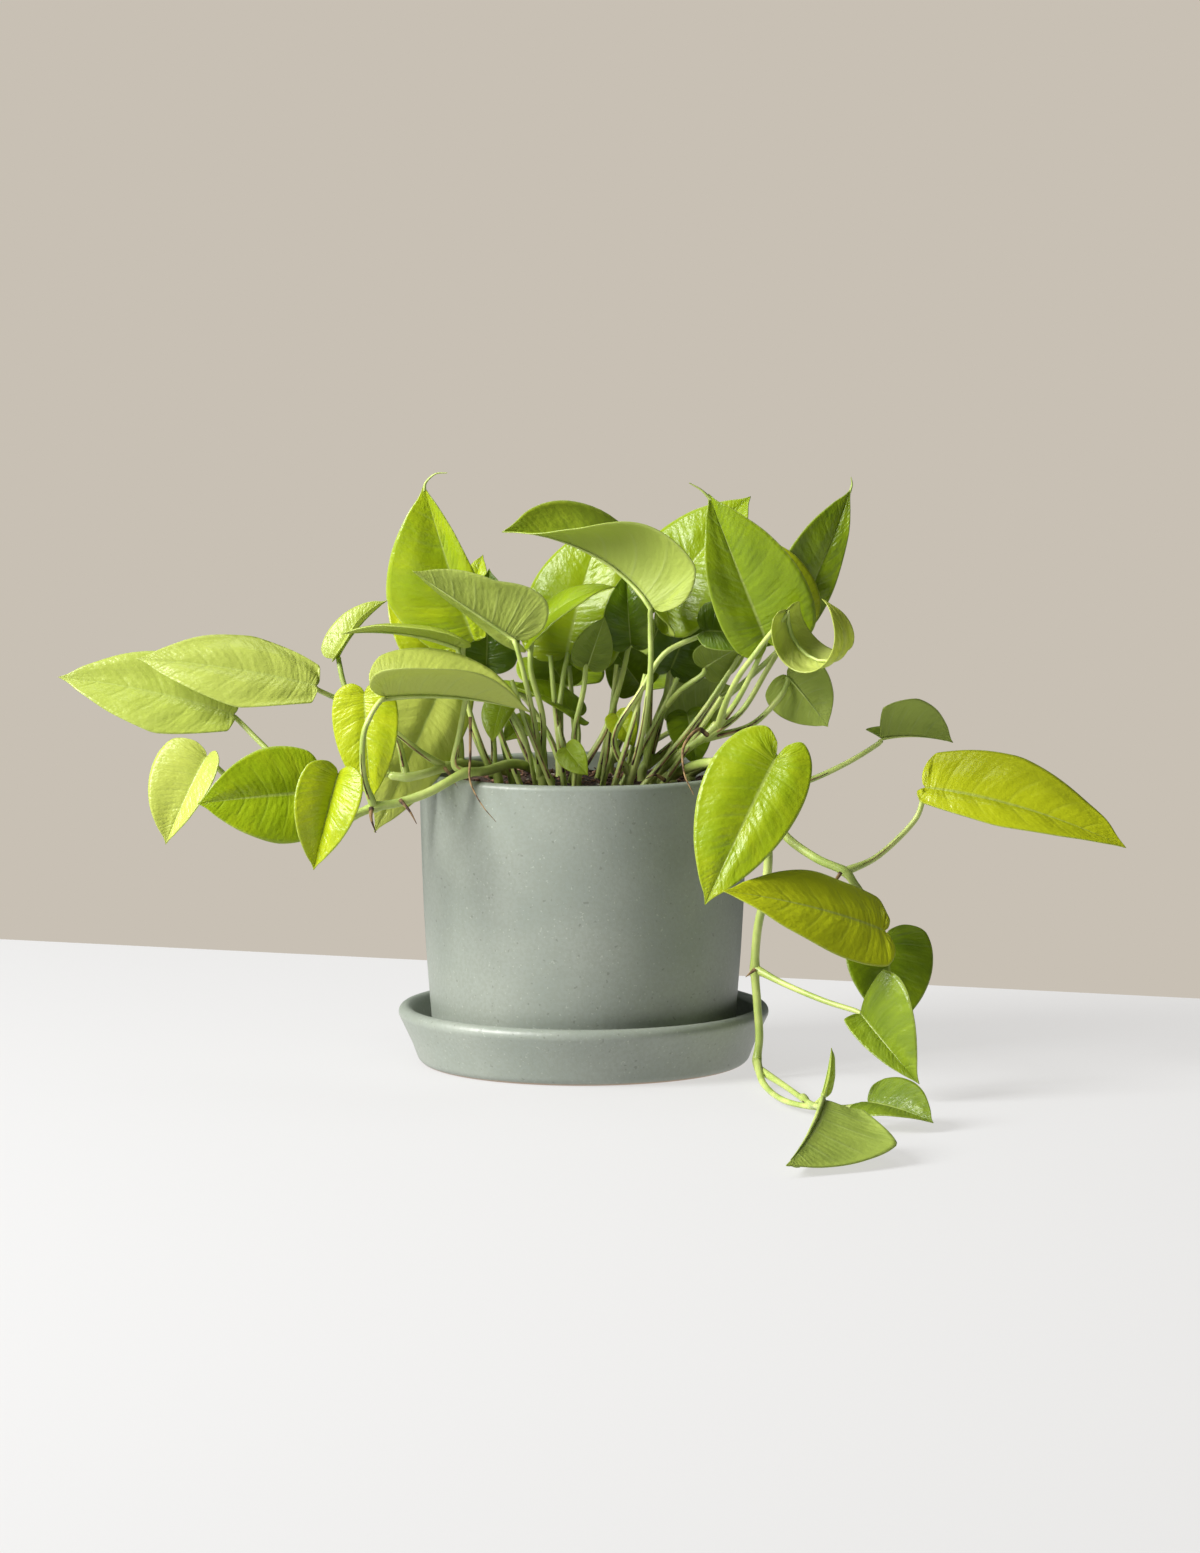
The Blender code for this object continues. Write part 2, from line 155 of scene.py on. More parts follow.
def times(tree, first, second):
    return maths(tree, "MULTIPLY", first, second)


def plus(tree, first, second):
    return maths(tree, "ADD", first, second)


def less(tree, first, second):
    return maths(tree, "SUBTRACT", first, second)


def blend(tree, share, first, second):
    """A mix of two colours."""
    made = tree.nodes.new("ShaderNodeMix")
    made.data_type = "RGBA"
    wire(tree, share, made.inputs["Factor"])
    wire(tree, first, made.inputs["A"])
    wire(tree, second, made.inputs["B"])
    return made.outputs["Result"]


def step(tree, value, low, high):
    """0 below low, 1 above high, smooth between."""
    made = tree.nodes.new("ShaderNodeMapRange")
    made.interpolation_type = "SMOOTHSTEP"
    wire(tree, value, made.inputs["Value"])
    made.inputs["From Min"].default_value = low
    made.inputs["From Max"].default_value = high
    return made.outputs["Result"]


def grain(tree, where, scale, detail=2.0, roughness=0.5):
    """Noise from 0 to 1 on the given coordinates."""
    made = node(tree, "ShaderNodeTexNoise", Vector=where, Scale=scale, Detail=detail, Roughness=roughness)
    return made.outputs["Fac"]


def finish_of(name):
    """A new material with its node tree and its Principled shader."""
    made = bpy.data.materials.new(name)
    made.use_nodes = True
    tree = made.node_tree
    return made, tree, tree.nodes["Principled BSDF"]


def sage_glaze(name, foot):
    """Satin sage glaze with fine speckles, and bare clay below the height of the foot."""
    made, tree, shader = finish_of(name)
    where = node(tree, "ShaderNodeTexCoord").outputs["Object"]
    cloud = grain(tree, where, 28, 3)
    fleck = grain(tree, where, 620, 2)
    pale_speck = step(tree, grain(tree, where, 780, 1), 0.69, 0.76)
    dark_speck = step(tree, grain(tree, where, 430, 1), 0.70, 0.77)
    colour = blend(tree, step(tree, cloud, 0.3, 0.7), (0.262, 0.296, 0.255, 1), (0.303, 0.333, 0.288, 1))
    flecked = times(tree, step(tree, fleck, 0.35, 0.65), 0.35)
    colour = blend(tree, flecked, colour, (0.235, 0.26, 0.205, 1))
    colour = blend(tree, times(tree, pale_speck, 0.3), colour, (0.62, 0.64, 0.56, 1))
    colour = blend(tree, times(tree, dark_speck, 0.5), colour, (0.13, 0.14, 0.11, 1))
    height = node(tree, "ShaderNodeSeparateXYZ", Vector=where).outputs["Z"]
    edge = plus(tree, height, times(tree, grain(tree, where, 60), 0.0006))
    glazed = step(tree, edge, foot, foot + 0.0007)
    colour = blend(tree, glazed, (0.44, 0.33, 0.24, 1), colour)
    wire(tree, colour, shader.inputs["Base Color"])
    gloss = plus(tree, 0.38, times(tree, fleck, 0.12))
    gloss = plus(tree, gloss, times(tree, less(tree, 1.0, glazed), 0.35))
    wire(tree, gloss, shader.inputs["Roughness"])
    shader.inputs["IOR"].default_value = 1.62
    relief = plus(tree, fleck, times(tree, cloud, 3.0))
    bump = node(tree, "ShaderNodeBump", Strength=0.35, Distance=0.00022, Height=relief)
    wire(tree, bump.outputs["Normal"], shader.inputs["Normal"])
    return made


def piece(name, bm, *finishes):
    """The finished bmesh as a smooth piece that rides with the plant."""
    mesh = bpy.data.meshes.new(name)
    for face in bm.faces:
        face.smooth = True
    bm.to_mesh(mesh)
    bm.free()
    for finish in finishes:
        mesh.materials.append(finish)
    made = bpy.data.objects.new(name, mesh)
    bpy.context.scene.collection.objects.link(made)
    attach(made, "root")
    return made


def turned(profile, steps, ring=False, merge=0.002):
    """A (radius, height) outline in millimetres spun into a closed shape, as on a potter's wheel."""
    bm = bmesh.new()
    corners = [bm.verts.new((radius * MM, 0, height * MM)) for radius, height in profile]
    edges = [bm.edges.new(pair) for pair in zip(corners, corners[1:])]
    if ring:
        edges.append(bm.edges.new((corners[-1], corners[0])))
    bmesh.ops.spin(
        bm,
        geom=corners + edges,
        axis=(0, 0, 1),
        cent=(0, 0, 0),
        steps=steps,
        angle=2 * math.pi,
        use_merge=True,
    )
    bmesh.ops.remove_doubles(bm, verts=bm.verts, dist=merge * MM)
    bmesh.ops.recalc_face_normals(bm, faces=bm.faces)
    return bm


def rounded(centre, radius, start, end, steps=6):
    """An arc of an outline: places on a circle from one angle to another, in degrees."""
    return [
        (
            centre[0] + radius * math.cos(math.radians(start + (end - start) * count / steps)),
            centre[1] + radius * math.sin(math.radians(start + (end - start) * count / steps)),
        )
        for count in range(steps + 1)
    ]


THROWN_STEPS = 160
saucer_bm = turned(
    [(0, 0), (40, 0), (65.8, 0)]
    + rounded((66.6, 5.0), 5.0, -86, -18, 7)
    + [(73.4, 9), (76.4, 15.4)]
    + rounded((76.1, 21.9), 3.1, -30, 188, 14)
    + [(71.3, 15.4), (69.4, 10.2)]
    + rounded((64.4, 10.0), 4.0, -8, -88, 5)
    + [(40, 6), (0, 6)],
    THROWN_STEPS,
)
saucer = piece("glazed_saucer", saucer_bm, sage_glaze("saucer_glaze", 0.9 * MM))
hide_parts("saucer")

# The pot: a plain tapered cylinder thrown in the same stoneware and dipped in the same glaze. Its
# rim is rounded over, its floor has a drain hole, and it stands loose inside the saucer.
pot_bm = turned(
    [(6, 6.3), (40, 6.3)]
    + rounded((60.6, 9.9), 3.5, -88, -6, 6)
    + [(64.9, 18), (65.9, 30), (67.25, 48), (68.25, 66), (68.95, 84), (69.5, 102), (69.8, 116)]
    + rounded((67.6, 123.8), 2.3, -4, 184, 14)
    + [(64.9, 118), (64.2, 102), (62.8, 70), (61.2, 40), (60.1, 20)]
    + rounded((54.4, 18.0), 5.6, -4, -88, 6)
    + [(30, 12.4), (6, 12.4)],
    THROWN_STEPS,
    ring=True,
)
pot = piece("glazed_pot", pot_bm, sage_glaze("pot_glaze", 7.4 * MM))
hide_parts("pot")

# The soil: peaty potting mix pressed into the pot to a little under the rim. Its top is uneven,
# and crumbs of soil, shreds of red-brown bark and a few pale grains lie loose on it.
SOIL_TOP = 119.4
potting_mix, tree, shader = finish_of("potting_mix")
where = node(tree, "ShaderNodeTexCoord").outputs["Object"]
lump = grain(tree, where, 260, 4, 0.6)
fibre = grain(tree, where, 900, 3, 0.7)
colour = blend(tree, step(tree, lump, 0.35, 0.65), (0.012, 0.008, 0.006, 1), (0.085, 0.045, 0.03, 1))
fibrous = times(tree, step(tree, fibre, 0.58, 0.72), 0.6)
colour = blend(tree, fibrous, colour, (0.21, 0.11, 0.075, 1))
wire(tree, colour, shader.inputs["Base Color"])
shader.inputs["Roughness"].default_value = 0.9
bump = node(tree, "ShaderNodeBump", Strength=0.8, Distance=0.0012, Height=fibre)
wire(tree, bump.outputs["Normal"], shader.inputs["Normal"])

SOIL_RADIUS = 64.4
soil_line = [(0, 13), (53, 13), (61.4, 60), (63.9, 105), (SOIL_RADIUS, 116)]
soil_line += [(SOIL_RADIUS * share / 40, SOIL_TOP - 1) for share in range(39, -1, -1)]
soil_bm = turned(soil_line, 140, merge=0.01)
for vert in soil_bm.verts:
    if vert.co.z > (SOIL_TOP - 2) * MM:
        reach = math.hypot(vert.co.x, vert.co.y) / (SOIL_RADIUS * MM)
        rough = noise.fractal(vert.co * 190, 0.8, 2.2, 4)
        vert.co.z += (1.4 * (1 - reach**2) + 1.5 * rough) * MM
soil = piece("potting_soil", soil_bm, potting_mix)
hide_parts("soil")

bark, tree, shader = finish_of("bark_shreds")
where = node(tree, "ShaderNodeTexCoord").outputs["Object"]
shade = grain(tree, where, 150, 2)
colour = blend(tree, step(tree, shade, 0.4, 0.62), (0.055, 0.026, 0.016, 1), (0.30, 0.155, 0.095, 1))
wire(tree, colour, shader.inputs["Base Color"])
shader.inputs["Roughness"].default_value = 0.85
pale_grain, tree, shader = finish_of("pale_grains")
where = node(tree, "ShaderNodeTexCoord").outputs["Object"]
colour = blend(tree, grain(tree, where, 700), (0.42, 0.36, 0.28, 1), (0.62, 0.58, 0.50, 1))
wire(tree, colour, shader.inputs["Base Color"])
shader.inputs["Roughness"].default_value = 0.9
crumb_bm = bmesh.new()
dice = random.Random(7)
CRUMBS = 620
BARK_SHARE = 0.95
for count in range(CRUMBS):
    turn = dice.uniform(0, 2 * math.pi)
    reach = 61.5 * math.sqrt(dice.random())
    dome = 1.0 * (1 - (reach / 64) ** 2)
    place = Vector((reach * math.cos(turn), reach * math.sin(turn), SOIL_TOP + dome))
    long = dice.uniform(0.7, 3.6)
    thick = dice.uniform(0.5, 1.3)
    spin = Matrix.Rotation(dice.uniform(0, math.pi), 4, "Z")
    spin = spin @ Matrix.Rotation(dice.uniform(-0.5, 0.5), 4, "Y")
    stretch = Matrix.Diagonal((long * MM, thick * MM, thick * MM * 0.8, 1))
    shape = Matrix.Translation(place * MM) @ spin @ stretch
    made = bmesh.ops.create_icosphere(crumb_bm, subdivisions=1, radius=0.7, matrix=shape)
    for vert in made["verts"]:
        vert.co += Vector([dice.uniform(-0.18, 0.18) for axis in range(3)]) * MM
    slot_of_crumb = 0 if dice.random() < BARK_SHARE else 1
    for face in {face for vert in made["verts"] for face in vert.link_faces}:
        face.material_index = slot_of_crumb
bmesh.ops.recalc_face_normals(crumb_bm, faces=crumb_bm.faces)
crumbs = piece("soil_crumbs", crumb_bm, bark, pale_grain)

# The leaves of this pothos are smooth, leathery hearts in every green from bottle to lime. Each
# blade is one sheet less than half a millimetre thick, folded a little along a pale midrib and
# gently quilted between the side veins, with a paler, duller underside.

# For one half of a blade of length 1: where each row leaves the midrib, and where (along, across)
# it ends on the edge.
HALF_BLADE = (
    (0.00, -0.035, 0.008),
    (0.00, -0.11, 0.05),
    (0.00, -0.16, 0.17),
    (0.01, -0.06, 0.32),
    (0.08, 0.14, 0.40),
    (0.24, 0.39, 0.385),
    (0.46, 0.64, 0.285),
    (0.70, 0.84, 0.14),
    (0.88, 0.94, 0.042),
    (1.00, 1.00, 0.0),
)
VEIN_STARTS, EDGES_ALONG, EDGES_ACROSS = zip(*HALF_BLADE)
FULL_WIDTH = 0.8
BLADE_ROWS = 64
BLADE_COLUMNS = 28
BLADE_THICKNESS = 0.42
VEINS = 22


def between(values, share):
    """The place at this share of the way through the values, on a smooth curve through them all."""
    at = share * (len(values) - 1)
    first = min(int(at), len(values) - 2)
    t = at - first
    start, end = values[first], values[first + 1]
    before = values[first - 1] if first else 2 * start - end
    after = values[first + 2] if first + 2 < len(values) else 2 * end - start
    return 0.5 * (
        2 * start
        + (end - before) * t
        + (2 * before - 5 * start + 4 * end - after) * t**2
        + (3 * start - before - 3 * end + after) * t**3
    )


def leaf_surface(upper):
    """The skin of a blade: the glossy upper side, or the paler and duller under side."""
    made, tree, shader = finish_of("leaf_upper" if upper else "leaf_under")
    where = node(tree, "ShaderNodeTexCoord").outputs["Object"]
    tone = node(tree, "ShaderNodeAttribute", {"attribute_name": "tone"}).outputs["Fac"]
    flat = node(tree, "ShaderNodeUVMap", {"uv_map": "blade"}).outputs["UV"]
    parts = node(tree, "ShaderNodeSeparateXYZ", Vector=flat)
    across = less(tree, times(tree, parts.outputs["X"], 2.0), 1.0)
    across = maths(tree, "ABSOLUTE", across)
    along = parts.outputs["Y"]
    streak_place = node(tree, "ShaderNodeVectorMath", {"operation": "MULTIPLY"})
    wire(tree, flat, streak_place.inputs[0])
    streak_place.inputs[1].default_value = (2.2, 17.0, 1.0)
    shifted = node(tree, "ShaderNodeVectorMath", {"operation": "ADD"})
    wire(tree, streak_place.outputs["Vector"], shifted.inputs[0])
    wire(tree, where, shifted.inputs[1])
    streak = grain(tree, shifted.outputs["Vector"], 1.0, 3, 0.6)
    cloud = grain(tree, where, 42, 2)
    mixed = plus(tree, tone, times(tree, less(tree, streak, 0.5), 0.42))
    mixed = plus(tree, mixed, times(tree, less(tree, cloud, 0.5), 0.35))
    if upper:
        dark, lime, yellow = (0.085, 0.165, 0.005, 1), (0.32, 0.45, 0.007, 1), (0.60, 0.66, 0.013, 1)
    else:
        dark, lime, yellow = (0.25, 0.35, 0.05, 1), (0.45, 0.56, 0.09, 1), (0.57, 0.65, 0.13, 1)
    colour = blend(tree, step(tree, mixed, 0.0, 0.5), dark, lime)
    colour = blend(tree, step(tree, mixed, 0.45, 1.0), colour, yellow)
    olive = node(tree, "ShaderNodeAttribute", {"attribute_name": "pale"}).outputs["Fac"]
    colour = blend(tree, olive, colour, (0.56, 0.62, 0.15, 1))
    # Side veins: one every so often along the blade, bending towards the tip as the columns do.
    ripple = node(tree, "ShaderNodeMath", {"operation": "PINGPONG"})
    wire(tree, times(tree, along, float(VEINS)), ripple.inputs[0])
    ripple.inputs[1].default_value = 1.0
    vein = step(tree, ripple.outputs[0], 0.16, 0.02)
    vein = times(tree, vein, step(tree, across, 0.95, 0.5))
    fine = node(tree, "ShaderNodeMath", {"operation": "PINGPONG"})
    wire(tree, times(tree, along, 4.0 * VEINS), fine.inputs[0])
    fine.inputs[1].default_value = 1.0
    midrib = step(tree, across, 0.055, 0.012)
    pale = (0.52, 0.62, 0.16, 1) if upper else (0.50, 0.58, 0.22, 1)
    colour = blend(tree, times(tree, vein, 0.06 if upper else 0.22), colour, pale)
    colour = blend(tree, times(tree, midrib, 0.6), colour, pale)
    rim = step(tree, across, 0.965, 1.0)
    colour = blend(tree, times(tree, rim, 0.55), colour, pale)
    wire(tree, colour, shader.inputs["Base Color"])
    mottle = grain(tree, where, 520, 2, 0.55)
    gloss = 0.25 if upper else 0.5
    wire(tree, plus(tree, gloss, times(tree, mottle, 0.12)), shader.inputs["Roughness"])
    crinkle_place = node(tree, "ShaderNodeVectorMath", {"operation": "MULTIPLY"})
    wire(tree, flat, crinkle_place.inputs[0])
    crinkle_place.inputs[1].default_value = (9.0, 46.0, 1.0)
    crinkle = grain(tree, crinkle_place.outputs["Vector"], 1.0, 2, 0.5)
    relief = plus(tree, mottle, times(tree, fine.outputs[0], 0.25))
    relief = plus(tree, relief, times(tree, crinkle, 2.2))
    relief = less(tree, relief, times(tree, plus(tree, vein, midrib), 0.35))
    if not upper:
        relief = times(tree, relief, -1.0)
    bump = node(tree, "ShaderNodeBump", Strength=0.6, Distance=0.00032, Height=relief)
    wire(tree, bump.outputs["Normal"], shader.inputs["Normal"])
    glow = node(tree, "ShaderNodeBsdfTranslucent", Color=blend(tree, 0.5, colour, (0.62, 0.68, 0.02, 1)))
    both = node(tree, "ShaderNodeMixShader")
    both.inputs["Fac"].default_value = 0.36
    wire(tree, shader.outputs["BSDF"], both.inputs[1])
    wire(tree, glow.outputs["BSDF"], both.inputs[2])
    wire(tree, both.outputs["Shader"], tree.nodes["Material Output"].inputs["Surface"])
    return made


leaf_upper = leaf_surface(True)
leaf_under = leaf_surface(False)
keels = {}
sheaths = []


def leaf(
    name, base, tip, face, arch, fold, width, twist=0, curl=30, lobe=0.6, sides=(1, 1), hips=1,
    tone=0.5, pale=0, young=False,
):
    """A blade from the end of its stalk to its tip, places in millimetres.

    face is the way the upper side looks, arch how far the midrib bends down, fold how far the
    halves rise from the midrib, and curl how far they bend down again, all in degrees. width is
    the blade's width over its length, lobe how deep the heart's notch is, sides each half's share
    of its full width, hips how wide the blade is by its stalk, tone its colour from dark to
    yellow, and pale how far that is washed with olive. A young blade is too small to have a solid
    of its own in the frame.
    """
    start = Vector(base)
    chord = Vector(tip) - start
    ahead = chord.normalized()
    up = Vector(face)
    up = (up - up.dot(ahead) * ahead).normalized()
    bend = math.radians(max(arch, 1))
    length = chord.length * (bend / 2) / math.sin(bend / 2)
    rise = math.radians(fold)
    half_width = length * width / 2
    # Each blade's own place in the noise, so that no two are uneven in the same way.
    own = sum(ord(letter) * (index + 3) for index, letter in enumerate(name)) * 0.37

    def place(along, across):
        """The point of the blade at these shares of its length, and its normal."""
        turn = bend / 2 - bend * max(along, 0)
        radius = length / bend
        point = start + radius * (math.sin(bend / 2) - math.sin(turn)) * ahead
        point = point + radius * (math.cos(turn) - math.cos(bend / 2)) * up
        forward = math.cos(turn) * ahead + math.sin(turn) * up
        normal = math.cos(turn) * up - math.sin(turn) * ahead
        point = point + min(along, 0) * lobe * length * forward
        normal = Matrix.Rotation(math.radians(twist) * max(along, 0), 3, forward) @ normal
        sideways = normal.cross(forward)
        reach = abs(across) * length * width / FULL_WIDTH * sides[across > 0]
        curve = math.radians(curl) / half_width
        out = (math.sin(rise) - math.sin(rise - curve * reach)) / curve
        lift = (math.cos(rise - curve * reach) - math.cos(rise)) / curve
        return point + math.copysign(out, across) * sideways + lift * normal, normal

    bm = bmesh.new()
    bmesh.ops.create_grid(bm, x_segments=BLADE_COLUMNS, y_segments=BLADE_ROWS, size=1)
    sheet = bm.loops.layers.uv.new("blade")
    for cell in bm.faces:
        for loop in cell.loops:
            loop[sheet].uv = (loop.vert.co.x / 2 + 0.5, loop.vert.co.y / 2 + 0.5)
    for vert in bm.verts:
        column, row = vert.co.x, vert.co.y / 2 + 0.5
        share = abs(column)
        station = max(between(VEIN_STARTS, row), 0)
        edge_along = between(EDGES_ALONG, row)
        edge_across = max(between(EDGES_ACROSS, row), 0)
        edge_across *= hips + (1 - hips) * min((edge_along + 0.16) / 0.55, 1)
        along = station + (edge_along - station) * share**1.3
        point, normal = place(along, math.copysign(share * edge_across, column))
        # It bulges between the side veins, drifts slowly in and out, and is frilled along its edge.
        quilt = 0.5 - 0.5 * math.cos(row * VEINS * math.pi)
        quilt *= math.sin(math.pi * min(share * 1.15, 1)) * 0.006 * length * min(edge_across / 0.3, 1)
        drift = noise.noise(Vector((column * 1.7, row * 3.1, own))) * 0.028 * length
        frill = noise.noise(Vector((row * 6.0, own, column))) * 0.03 * length * share**3
        lifted = quilt + (drift * min(share * 2, 1) + frill) * min(edge_across / 0.2, 1)
        vert.co = (point + lifted * normal) * MM
    bmesh.ops.remove_doubles(bm, verts=bm.verts, dist=0.02 * MM)
    bm.normal_update()
    middle = place(0.3, 0.1)[1]
    if sum((cell.normal for cell in bm.faces), Vector()).dot(middle) < 0:
        bmesh.ops.reverse_faces(bm, faces=bm.faces)
    blade = piece("blade_" + name, bm, leaf_upper, leaf_under)
    for key, value in (("tone", tone), ("pale", pale)):
        colouring = blade.data.attributes.new(key, "FLOAT", "POINT")
        colouring.data.foreach_set("value", [value] * len(blade.data.vertices))
    thicken = blade.modifiers.new("thickness", "SOLIDIFY")
    thicken.thickness = BLADE_THICKNESS * MM
    thicken.offset = 0
    thicken.material_offset = 1
    if not young:
        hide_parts("leaf_" + name)
    # The midrib stands out as a keel under the blade, and stops a little before its tip.
    keel = []
    for count in range(12):
        along = count / 11 * 0.9
        thick = (1.05 * (1 - along) ** 0.9) * min(length / 60, 1)
        point, normal = place(along, 0)
        keel.append((point - normal * (thick + 0.15), thick))
    keels[name] = keel
    return blade


# Stems and leaf stalks are one flesh: round, juicy and pale lime, swollen a little where each leaf
# stalk leaves the stem. Every stalk runs on under its blade as the midrib, tapering to the tip.
stem_skin, tree, shader = finish_of("stem_skin")
where = node(tree, "ShaderNodeTexCoord").outputs["Object"]
blotch = grain(tree, where, 70, 3)
streaks = node(tree, "ShaderNodeVectorMath", {"operation": "MULTIPLY"})
wire(tree, where, streaks.inputs[0])
streaks.inputs[1].default_value = (1.0, 1.0, 0.16)
thread = grain(tree, streaks.outputs["Vector"], 900, 2)
colour = blend(tree, step(tree, blotch, 0.3, 0.7), (0.27, 0.38, 0.05, 1), (0.50, 0.58, 0.16, 1))
colour = blend(tree, times(tree, thread, 0.35), colour, (0.62, 0.68, 0.28, 1))
wire(tree, colour, shader.inputs["Base Color"])
shader.inputs["Roughness"].default_value = 0.42
shader.inputs["Subsurface Weight"].default_value = 0.15
shader.inputs["Subsurface Radius"].default_value = (0.002, 0.003, 0.001)
bump = node(tree, "ShaderNodeBump", Strength=0.15, Distance=0.0002, Height=thread)
wire(tree, bump.outputs["Normal"], shader.inputs["Normal"])


def smooth_path(points, steps):
    """Points along a smooth curve through every given point."""
    given = [Vector(point) for point in points]
    spans = (len(given) - 1) * steps
    return [between(given, count / spans) for count in range(spans + 1)]


def rods(name, finish, runs):
    """Round rods as one curve piece. Each run is a list of (place, radius) in millimetres."""
    curve = bpy.data.curves.new(name, "CURVE")
    curve.dimensions = "3D"
    curve.bevel_depth = MM
    curve.bevel_resolution = 3
    curve.use_fill_caps = True
    for run in runs:
        spline = curve.splines.new("POLY")
        spline.points.add(len(run) - 1)
        spline.use_smooth = True
        for point, (place, radius) in zip(spline.points, run):
            point.co = (*(Vector(place) * MM), 1)
            point.radius = radius
    curve.materials.append(finish)
    made = bpy.data.objects.new(name, curve)
    bpy.context.scene.collection.objects.link(made)
    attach(made, "root")
    return made


SHEATHED_SHARE = 0.45


def vine(name, stem, stalks, thick=4.3, thin=3.3):
    """A stem with its leaf stalks. Each stalk is (the blade it carries, its points).

    The stem swells at each stalk's foot and ends in a point. A dry brown sheath runs up each
    stalk for about the sheathed share of its length.
    """
    line = smooth_path(stem, 7)
    joins = [Vector(points[0]) for _, points in stalks]
    run = []
    for count, place in enumerate(line):
        share = count / (len(line) - 1)
        radius = (thick + (thin - thick) * share) / 2
        near = min((place - join).length for join in joins)
        radius *= 1 + 0.26 * math.exp(-((near / 2.6) ** 2))
        radius *= 1 - 0.75 * max(0, share - 0.97) / 0.03
        run.append((place, radius))
    runs = [run]
    for blade, points in stalks:
        keel = keels[blade]
        line = smooth_path([*points, keel[0][0]], 7)
        run = []
        for count, place in enumerate(line):
            share = count / (len(line) - 1)
            radius = 1.35 - 0.35 * share + 0.5 * math.exp(-((share / 0.13) ** 2))
            radius += 0.18 * math.exp(-(((share - 0.93) / 0.05) ** 2))
            run.append((place, radius + (keel[0][1] - radius) * max(0, share - 0.9) / 0.1))
        runs.append(run[:-1] + keel)
        lean = Vector((math.sin(len(name + blade) + points[-1][0]), -1.4, 0)).normalized()
        covered = run[2 : int(len(run) * SHEATHED_SHARE * (0.7 + 0.05 * (len(sheaths) % 7)))]
        sheaths.append([place + lean * (radius + 0.1) for place, radius in covered])
    made = rods("stems_" + name, stem_skin, runs)
    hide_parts(name)
    return made


# The long vine on the left grows out of the soil, climbs over the rim at the front and hangs free
# outside the pot. It carries six full-grown leaves, each on a stalk that springs from a node.
leaf("a1", (-52, -53, 183), (-101, -52, 188), (-0.1, 0.05, 1), 30, 35, 0.44, tone=0.45, pale=0.5)
leaf("a2", (-82, -72, 164), (-22, -68, 157), (0.05, -0.1, 1), 25, 55, 0.8, tone=0.62, pale=0.8)
leaf("a3", (-112, -72, 124), (-159, -88, 121), (0.1, -0.95, 0.3), 18, 14, 0.85, tone=0.55, hips=0.9)
leaf("a4", (-101, -88, 133), (-111, -92, 94), (-0.15, -1, 0.1), 20, 48, 0.8, tone=0.72)
leaf(
    "a5", (-147, -38, 153), (-221, -30, 168), (0, -0.75, 0.65), 22, 20, 0.52, -20, lobe=0.1,
    hips=0.4, tone=0.4, pale=0.65
)
leaf(
    "a6", (-157, -58, 137), (-174, -62, 101), (-0.45, -0.85, 0.2), 15, 32, 0.95,
    sides=(1, 0.6), tone=0.75, pale=0.75
)
vine(
    "vine_a",
    [
        (-15, -12, 119.9), (-15, -12, 123), (-28, -27, 131), (-41, -46, 130), (-50, -56, 130),
        (-64, -62, 123), (-76, -64, 119), (-87, -66, 117), (-97, -68, 113), (-110, -68, 107),
        (-118, -66, 104),
    ],
    [
        (
            "a1",
            [
                (-49, -55, 130), (-54, -54, 134), (-52, -53, 145), (-50, -53, 156), (-48, -53, 168),
                (-50, -53.5, 174.5),
            ],
        ),
        ("a2", [(-87, -66, 117), (-91, -72, 131), (-91, -77, 147), (-88, -77, 156), (-84, -74, 162)]),
        ("a3", [(-109, -68, 107), (-106, -64, 113), (-107, -66, 119), (-110, -70, 122)]),
        ("a4", [(-97, -68, 113), (-99, -76, 121), (-100, -82, 127), (-101, -86, 131)]),
        (
            "a5",
            [(-118, -66, 104), (-121, -58, 119), (-129, -48, 135), (-139, -41, 145), (-145, -37, 150.5)],
        ),
        (
            "a6",
            [(-118, -66, 104), (-131, -60, 111), (-144, -50, 123), (-152, -51, 131), (-156, -54.5, 135.5)],
        ),
    ],
)

# A shorter vine beside it leans on the rim and ends just past it. Its four leaves stand up, reach
# out or hang down on stalks of their own.
leaf(
    "b1", (-112, -48, 166), (-187, -44, 177), (0.05, -0.8, 0.6), 20, 16, 0.5, lobe=0.1, tone=0.45,
    hips=0.35, pale=0.75
)
leaf("b2", (-60, -23, 164), (-88, -38, 103), (0.3, -0.9, 0.3), 22, 14, 0.5, tone=0.8, pale=0.8)
leaf("b3", (-91, -60, 164), (-88, -64, 119), (-0.2, -1, 0.1), 16, 16, 0.62, tone=0.8)
leaf("b4", (-104, -19, 176), (-83, -14, 199), (-0.8, -0.5, 0.4), 30, 50, 0.6, tone=0.5, pale=0.6)
vine(
    "vine_b",
    [
        (-30, 8, 119.9), (-30, 8, 123), (-44, -8, 128), (-52, -26, 131), (-58, -40, 131), (-66, -46, 129),
        (-74, -46, 127.5), (-82, -44, 128),
    ],
    [
        ("b1", [(-58, -40, 131), (-68, -47, 138), (-81, -46, 148), (-97, -42, 157), (-110, -45, 163.5)]),
        ("b2", [(-52, -26, 131), (-52, -20, 140), (-55, -17, 153), (-59, -20, 162)]),
        ("b3", [(-74, -46, 127.5), (-78, -42, 143), (-85, -50, 157), (-90, -57, 163)]),
        ("b4", [(-82, -44, 128), (-91, -34, 146), (-100, -26, 162), (-103, -22, 173)]),
    ],
)

